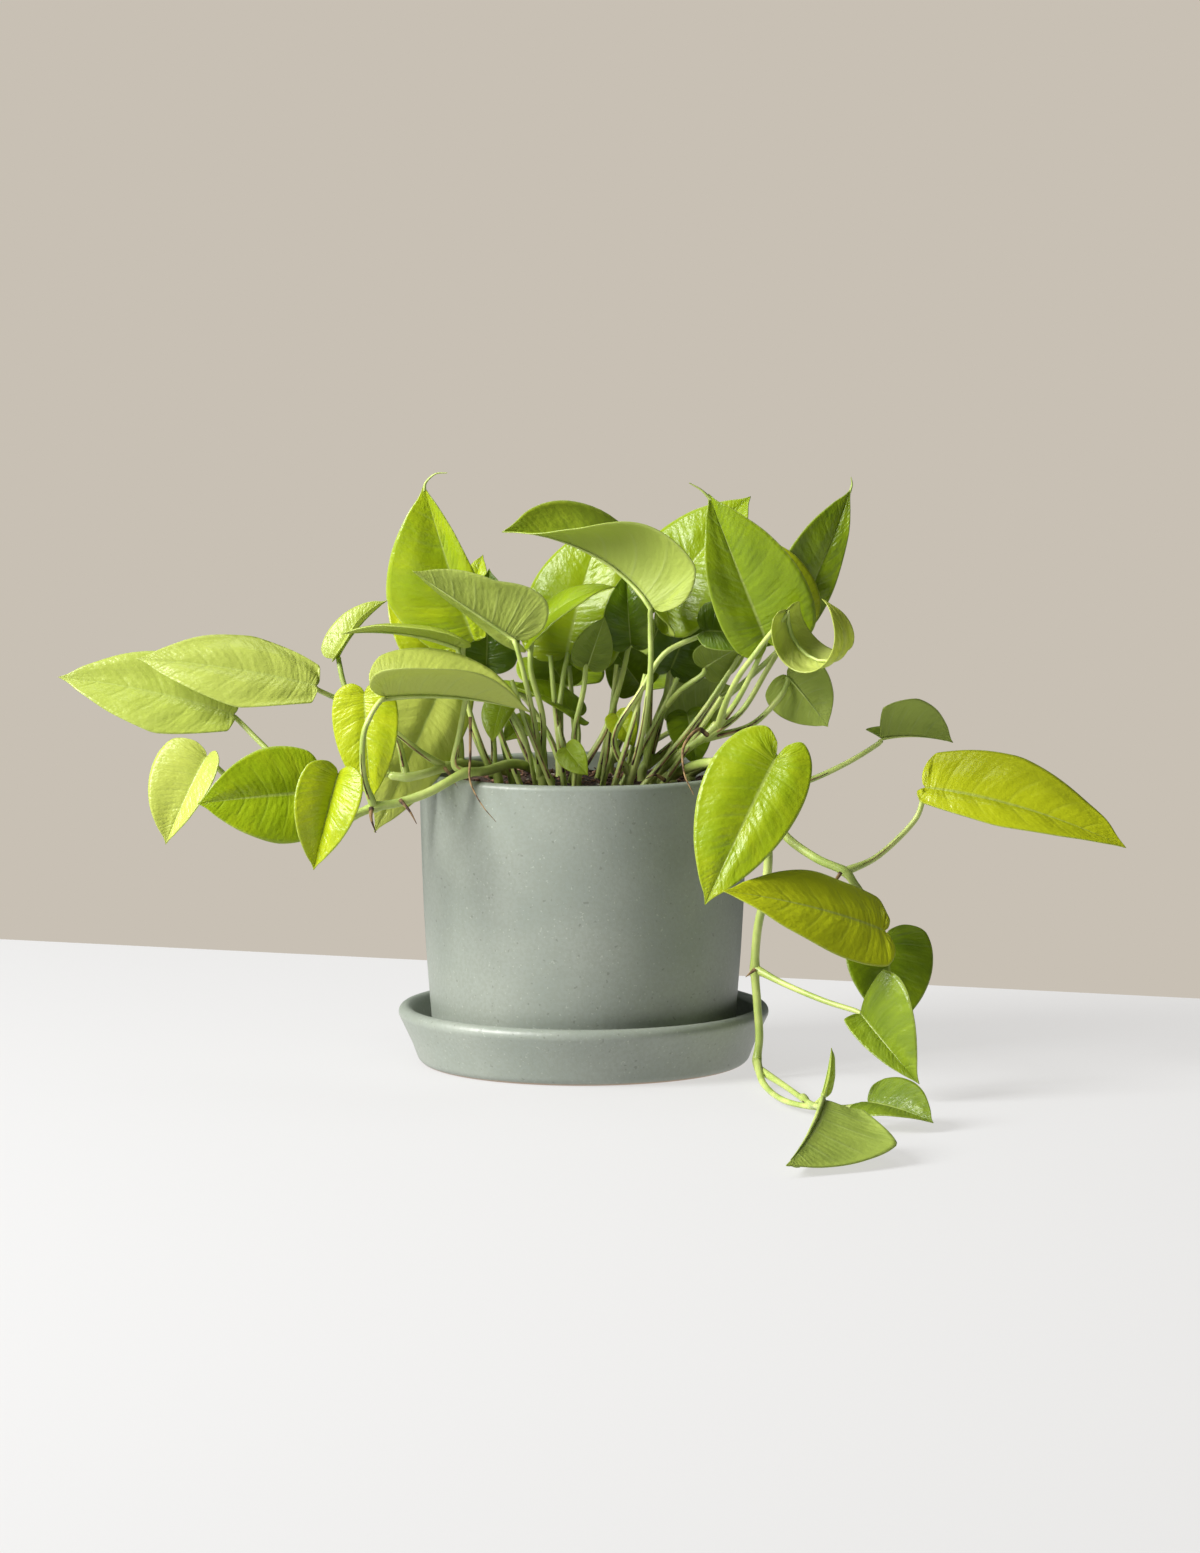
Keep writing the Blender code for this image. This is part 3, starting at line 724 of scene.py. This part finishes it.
# Three short shoots rise straight out of the soil on the left. Each is a stub of stem with long
# upright stalks, which carry its three leaves up above the rim.
leaf(
    "f1", (-46, -30, 184), (-67, -30, 249), (-0.25, -1, 0.1), 14, 24, 0.68, tone=0.62, hips=0.45,
    lobe=0.1, sides=(0.5, 1.35)
)
leaf("f2", (-41, -16, 172), (-40, -6, 212), (0.05, -1, 0.2), 12, 34, 0.7, tone=0.1)
leaf("f3", (-57, 4, 169), (-84, 14, 201), (-0.5, -0.6, 0.7), 35, 25, 0.6, tone=0.8)
vine(
    "vine_f",
    [(-36, -22, 119.9), (-36, -22, 124), (-38, -22, 128)],
    [
        ("f1", [(-38, -22, 126), (-43, -26, 138), (-49, -28, 158), (-50.5, -28, 180.5)]),
        ("f2", [(-38, -21, 125), (-38, -17, 138), (-40, -15, 157), (-41, -15, 170)]),
        ("f3", [(-38, -21, 125), (-46, -6, 140), (-53, 4, 156), (-55, 6.5, 165)]),
    ],
)

leaf(
    "g1", (-29, -51, 186), (-71, -58, 215), (-0.25, 0.85, 0.5), -14, 30, 0.64, tone=0.45,
    sides=(0.3, 1.05), pale=0.3, hips=1.6, lobe=0.95
)
leaf("g2", (-22, -28, 184), (14, -30, 206), (-0.2, -0.3, 1), 55, 20, 0.6, tone=0.5)
leaf("g3", (-48, 10, 184), (-43, 18, 216), (-0.2, -0.5, 0.6), 45, 30, 0.6, tone=0.6)
vine(
    "vine_g",
    [(-17, -33, 119.9), (-17, -33, 124), (-18, -33, 128)],
    [
        ("g1", [(-18, -33, 126), (-20, -42, 147), (-24, -51, 168), (-27.5, -53.5, 182)]),
        ("g2", [(-18, -33, 126), (-17, -31, 150), (-22, -30, 170), (-22, -29, 181)]),
        ("g3", [(-18, -32, 125), (-30, -8, 147), (-43, 9, 168), (-47, 12, 181)]),
    ],
)

leaf("h1", (-7, -6, 176), (9, 4, 233), (-0.35, -1, 0.25), 20, 14, 0.8, tone=0.55)
leaf("h2", (2, -27, 173), (9, -25, 193), (0, 1, 0.25), 8, 18, 0.8, tone=0.2)
leaf("h3", (20, -15, 181), (18, -11, 211), (-0.1, -1, 0.2), 30, 34, 0.75, tone=0.15)
vine(
    "vine_h",
    [(-3, -34, 119.9), (-3, -34, 124), (-3, -34, 128)],
    [
        ("h1", [(-3, -34, 126), (-10, -24, 145), (-9, -13, 163), (-7, -8, 174)]),
        ("h2", [(-3, -34, 126), (-4, -30, 143), (0, -28, 162), (1, -27.5, 171.5)]),
        ("h3", [(-3, -34, 126), (9, -28, 145), (16, -18, 166), (19, -13, 178.5)]),
    ],
)

# The shoot beside them is a stub of stem too. Its large leaf arches over the top of the plant, so
# that the underside shows at the front, and a small dark leaf stands behind it.
leaf("i1", (29, -52, 199), (-34, -42, 230), (0.35, 0.8, 0.65), 78, 46, 0.8, -98, tone=0.5, pale=0.15)
leaf("i2", (51, -40, 188), (82, -34, 182), (0.1, -0.75, 0.75), 35, 35, 0.9, tone=0.12)
vine(
    "vine_i",
    [(19, -37, 119.9), (19, -37, 124), (20, -37, 128)],
    [
        ("i1", [(20, -37, 126), (25, -42, 147), (28, -49, 172), (28, -49, 190)]),
        ("i2", [(20, -37, 126), (13, -38, 143), (24, -40, 163), (34, -42, 179), (48, -41, 186)]),
    ],
)

# A stout shoot leans out to the right over the soil. It carries the tall front leaf, a pale leaf
# that has curled round into a loop, and two smaller ones.
leaf("j1", (76, -52, 186), (52, -56, 247), (-0.2, -1, 0.15), 14, 26, 0.72, tone=0.36, sides=(1.1, 0.65))
leaf("j2", (84, -24, 190), (75, -20, 227), (0.3, -1, 0.2), 20, 18, 0.95, tone=0.75)
leaf(
    "j3", (84, -76, 200), (98, -92, 206), (0.1, 0.35, -1), 268, 4, 0.34, curl=16, tone=0.85,
    lobe=0.1, hips=0.8, pale=0.55
)
leaf("j4", (86, -23, 168), (103, -30, 147), (0.1, 0.9, 0.4), 18, 14, 1.1, tone=0.35)
vine(
    "vine_j",
    [(28, -18, 119.9), (28, -18, 123), (33, -21, 128), (42, -26, 136), (51, -30, 143), (57, -31, 149)],
    [
        ("j1", [(57, -31, 148), (64, -38, 158), (71, -44, 172), (75.5, -49, 183)]),
        ("j2", [(51, -30, 142), (66, -31, 153), (77, -26, 170), (87, -21.5, 187)]),
        ("j3", [(57, -31, 148), (60, -48, 160), (65, -63, 172), (71, -69, 181), (76, -71, 188)]),
        ("j4", [(51, -30, 142), (70, -27, 147), (82, -26, 158), (86, -24, 165)]),
    ],
)

# The shoot in the middle of the pot sends up long stalks. It carries two tall leaves behind the
# others, and two small ones in their shade.
leaf("k1", (92, -14, 193.5), (113, -10, 246), (0.3, -1, 0.1), 10, 22, 0.62, tone=0.3, sides=(0.5, 1))
leaf("k2", (31, -8, 194), (71, 2, 242), (-0.4, -0.9, 0.45), 18, 16, 0.75, tone=0.5)
leaf("k3", (37, 0, 169), (51, 4, 207), (0.5, -0.8, 0.1), 14, 30, 0.8, tone=0.1)
leaf("k4", (51, -18, 171), (71, -20, 182), (-0.1, 0.8, 0.6), 20, 14, 1.0, tone=0.3)
vine(
    "vine_k",
    [(25, 8, 119.9), (25, 8, 124), (27, 8, 128)],
    [
        ("k1", [(27, 8, 126), (50, 0, 147), (79, -11, 174), (91, -14, 189)]),
        ("k2", [(27, 8, 126), (28, 3, 147), (29, -3, 173), (31, -7, 191)]),
        ("k3", [(27, 8, 126), (32, 6, 142), (35, 4, 157), (36.5, 2.5, 166)]),
        ("k4", [(27, 8, 126), (32, -6, 147), (40, -16, 160), (50, -20.5, 168)]),
    ],
)

# Two low shoots at the back of the pot are rooted in the soil as the others are. Their leaves lean
# away over the rim, and one stands up behind the tuft.
leaf("m1", (-26, 34, 154), (-60, 64, 152), (-0.4, 0.5, 0.8), 40, 22, 0.75, tone=0.4)
leaf("m2", (-10, 44, 158), (-12, 94, 160), (0, 0.6, 0.8), 45, 20, 0.75, tone=0.35)
vine(
    "vine_m",
    [(-10, 24, 119.9), (-10, 24, 124), (-10, 25, 128)],
    [
        ("m1", [(-10, 25, 126), (-16, 29, 139), (-24, 33, 151)]),
        ("m2", [(-10, 25, 126), (-10, 35, 141), (-10, 42, 155)]),
    ],
)

leaf("n1", (25, 48, 157), (44, 86, 164), (0.4, 0.6, 0.7), 40, 22, 0.75, tone=0.25)
leaf("n2", (40, 51, 139), (66, 64, 155), (0.2, 0.9, 0.4), 30, 14, 0.95, tone=0.15)
leaf("n3", (14, 46, 172), (15, 66, 206), (0, 1, 0.3), 20, 18, 0.8, tone=0.3)
vine(
    "vine_n",
    [(11, 33, 119.9), (11, 33, 124), (12, 34, 128)],
    [
        ("n1", [(12, 34, 126), (18, 42, 138), (24, 47, 152)]),
        ("n2", [(12, 34, 126), (26, 43, 131), (38, 49, 137)]),
        ("n3", [(12, 34, 126), (13, 40, 146), (14, 45, 169)]),
    ],
)

# The long vine at the front right hangs over the rim down to the table and runs out along it. It
# carries a large heart by the rim and small leaves towards its growing tip, one of them furled.
leaf("c1", (79, -92, 140), (50, -104, 81), (0, -1, 0.35), 16, 16, 0.7, lobe=1, tone=0.6, sides=(1, 0.8))
leaf(
    "c2", (115, -86, 33), (138, -112, 8), (-0.35, -0.9, 0.3), 14, 46, 1.05, lobe=0.15,
    sides=(0.4, 1.2), tone=0.25, pale=0.1
)
leaf("c3", (115, -165, 9), (140, -184, 4), (0.05, -0.5, 0.86), 20, 32, 0.95, lobe=0.4, tone=0.2, pale=0.1)
leaf(
    "c4", (95, -226, 20), (78, -288, 5), (0.6, 0, -0.8), 14, 58, 0.95, lobe=0.1, sides=(1.1, 0.35),
    tone=0.25, hips=0.3, pale=0.05
)
leaf("c5", (97, -159, 12), (100, -163, 31), (0.9, -0.4, 0.1), 10, 40, 0.45, tone=0.55)
vine(
    "vine_c",
    [
        (34, -14, 119.9), (34, -14, 123), (46, -28, 130), (56, -42, 133), (66, -54, 129),
        (73, -61, 116), (77, -62, 99), (76, -58, 81), (73, -53, 64), (72, -49, 47), (73, -49, 33),
        (74, -49, 18), (73, -50, 8), (74, -58, 4),
    ],
    [
        ("c1", [(66, -54, 129), (69, -66, 136), (74, -80, 142), (79, -88, 141)]),
        ("c2", [(72, -49, 47), (84, -60, 42), (100, -74, 37), (113, -83, 34)]),
        (
            "c3",
            [(73, -50, 8), (75, -80, 3), (82, -122, 3), (94, -146, 4), (106, -158, 6), (113, -163, 8)],
        ),
        ("c4", [(74, -56, 5), (83, -90, 4), (91, -130, 4), (94, -180, 10), (95, -222, 17)]),
        ("c5", [(90, -122, 4), (93, -148, 5), (97, -157, 10)]),
    ],
)

# A short vine climbs over the rim at the right, behind the long one. It carries one small folded
# leaf at its end, on a stalk that bends up.
leaf("d1", (126, -18, 141), (157, -8, 138), (0, 0.5, 0.85), 30, 50, 1.2, lobe=0.1, tone=0.35, hips=0.7)
vine(
    "vine_d",
    [(46, 8, 119.9), (46, 8, 123), (54, 0, 128), (64, -12, 129), (76, -20, 124), (87, -21, 121)],
    [
        ("d1", [(86, -21, 121), (97, -22, 124), (112, -21, 131), (124, -18, 138)]),
    ],
    thick=4.4,
    thin=3.4,
)

# The vine that reaches farthest to the right arches over the rim and hangs free beside the pot.
# Two of its leaves are the yellowest of the plant, and a green one hangs below them.
leaf(
    "e1", (143, -56, 124), (226, -66, 100), (0.25, -0.75, 0.6), 30, 14, 0.62, lobe=0.2, tone=1.1,
    hips=0.6, sides=(0.5, 1.05)
)
leaf("e2", (124, -86, 68), (57, -113, 88), (-0.35, -0.65, 0.65), 20, 12, 0.56, lobe=0.35, tone=1.1)
leaf("e3", (126, -66, 63), (129, -76, 24), (0.25, -0.95, 0.2), 14, 22, 0.95, tone=0.25)
vine(
    "vine_e",
    [
        (38, -2, 119.9), (38, -2, 123), (50, -17, 130), (62, -34, 131), (75, -44, 119),
        (84, -51, 104), (97, -60, 95), (109, -66, 90), (114, -68, 83), (119, -67, 76),
    ],
    [
        ("e1", [(109, -66, 90), (123, -61, 96), (138, -57, 110), (142, -56, 120)]),
        ("e2", [(114, -68, 83), (120, -74, 78), (122, -79, 74)]),
        ("e3", [(118, -67, 77), (123, -65, 70), (124.5, -64.5, 66)]),
    ],
)

# Young leaves and bare stalks fill the middle of the plant: small, thin hearts close to the soil,
# and stalks whose leaves are lost among the others.
young_runs = []
for name, head, foot, tip, face, tone in (
    ("y1", (-33, -40, 160), (-20, -30, 121), (-38, -46, 142), (-0.6, -0.8, 0.2), 0.5),
    ("y2", (-2, -12, 150), (-6, -10, 121), (-30, -20, 163), (-0.1, -0.4, 0.9), 0.35),
    ("y3", (-7, -50, 140), (-4, -44, 121), (2, -54, 129), (-0.3, -1, 0.2), 0.45),
    ("y4", (14, -30, 152), (8, -26, 121), (21, -34, 139), (0.2, -1, 0.1), 0.7),
    ("y5", (44, -6, 150), (30, 2, 121), (48, -12, 128), (0.1, -1, 0.1), 0.2),
    ("y6", (-22, -4, 146), (-16, 2, 121), (-34, -14, 139), (-0.3, -0.8, 0.5), 0.4),
    ("y7", (24, 22, 160), (18, 20, 121), (10, 14, 180), (-0.2, -1, 0.2), 0.15),
    ("y8", (-8, 6, 162), (-4, 8, 121), (-20, 0, 182), (-0.3, -1, 0.1), 0.2),
):
    leaf(name, head, tip, face, 24, 24, 0.85, tone=tone, young=True)
    sway = (Vector(head) + Vector(foot)) / 2 + Vector((2, -2, 3))
    keel = keels[name]
    line = smooth_path([foot, sway, keel[0][0]], 9)
    thinning = [(place, 1.05 - 0.4 * count / len(line)) for count, place in enumerate(line)]
    young_runs.append(thinning[:-1] + keel)
for foot, head in (
    ((-26, -26, 120), (-44, -24, 170)), ((-30, -16, 120), (-40, -8, 168)), ((-8, -26, 120), (-14, -18, 176)),
    ((-12, -40, 120), (-30, -44, 168)), ((8, -22, 120), (14, -16, 172)), ((12, -40, 120), (26, -38, 170)),
    ((16, -10, 120), (40, -12, 166)), ((24, -26, 120), (62, -22, 170)), ((30, -4, 120), (66, -16, 176)),
    ((-2, 4, 120), (-6, 0, 170)), ((-20, 10, 120), (-38, 8, 166)), ((6, 14, 120), (16, 10, 168)),
    ((20, 20, 120), (40, 12, 170)), ((32, -24, 120), (58, -34, 160)),
):
    bowed = (Vector(head) + Vector(foot)) / 2 + Vector(((head[0] - foot[0]) * 0.12, 0, 4))
    line = smooth_path([foot, bowed, head], 9)
    young_runs.append([(place, 1.35 - 0.4 * count / len(line)) for count, place in enumerate(line)])
    sheaths.append([place + Vector((0.4, -1.3, 0)) for place in line[2:12]])
rods("young_stalks", stem_skin, young_runs)

# Three of the tall leaves end in a long thread of a tip, soft and pale green, that has curled
# over. It grows on from the end of the blade.
tail_runs = []
for points, thick in (
    ([(-66.6, -30.2, 246.5), (-66, -30.6, 250), (-62, -31, 253.6), (-57, -31, 254)], 0.7),
    ([(53, -56, 244.5), (49, -56.6, 248.5), (44, -57.5, 251.5)], 0.75),
    ([(112.6, -10, 244.5), (113.5, -10, 248), (113, -10.5, 251)], 0.6),
):
    line = smooth_path(points, 6)
    narrowing = 0.75 / len(line)
    tail_runs.append([(place, thick * (1 - narrowing * at)) for at, place in enumerate(line)])
rods("drip_tips", stem_skin, tail_runs)

# Each leaf stalk is born wrapped in a thin papery sheath. It dries to a dark brown thread, which
# still clings along the lower part of the stalk.
dry_sheath, tree, shader = finish_of("dry_sheath")
where = node(tree, "ShaderNodeTexCoord").outputs["Object"]
shade = grain(tree, where, 240, 3)
colour = blend(tree, step(tree, shade, 0.4, 0.6), (0.05, 0.022, 0.012, 1), (0.30, 0.19, 0.08, 1))
wire(tree, colour, shader.inputs["Base Color"])
shader.inputs["Roughness"].default_value = 0.8
threads = []
for count, sheath in enumerate(sheaths):
    size = (0.62, 0.4, 0.5)[count % 3]
    last = max(len(sheath) - 1, 1)
    threads.append([(place, size * (1 - 0.8 * at / last)) for at, place in enumerate(sheath)])
rods("dry_sheaths", dry_sheath, threads)

# Aerial roots: stubby, pointed and brown, they grow from the nodes of the stems that hang over the
# rim, and one longer root has curled round on itself.
roots = []
for points, thick in (
    ([(-88, -68, 117), (-88, -71, 113), (-86, -72, 107)], 1.1),
    ([(-76, -66, 120), (-72, -71, 116), (-69, -74, 111)], 0.9),
    ([(-47, -58, 154), (-47, -61, 138), (-47, -66, 128), (-42, -74, 119), (-36, -76, 112)], 0.7),
    ([(-58, -44, 131), (-55, -52, 128), (-53, -56, 125)], 0.8),
    ([(52, -34, 144), (48, -42, 147), (42, -52, 141), (42, -60, 131), (46, -64, 122)], 1.1),
    ([(107, -70, 90), (104, -74, 86), (102, -76, 82)], 0.9),
    ([(72, -52, 47), (68, -54, 44)], 0.9),
    ([(34, -44, 126), (30, -52, 129), (26, -58, 128)], 1.0),
):
    line = smooth_path(points, 6)
    last = len(line) - 1
    roots.append([(place, thick * (1 - 0.85 * at / last)) for at, place in enumerate(line)])
rods("aerial_roots", dry_sheath, roots)
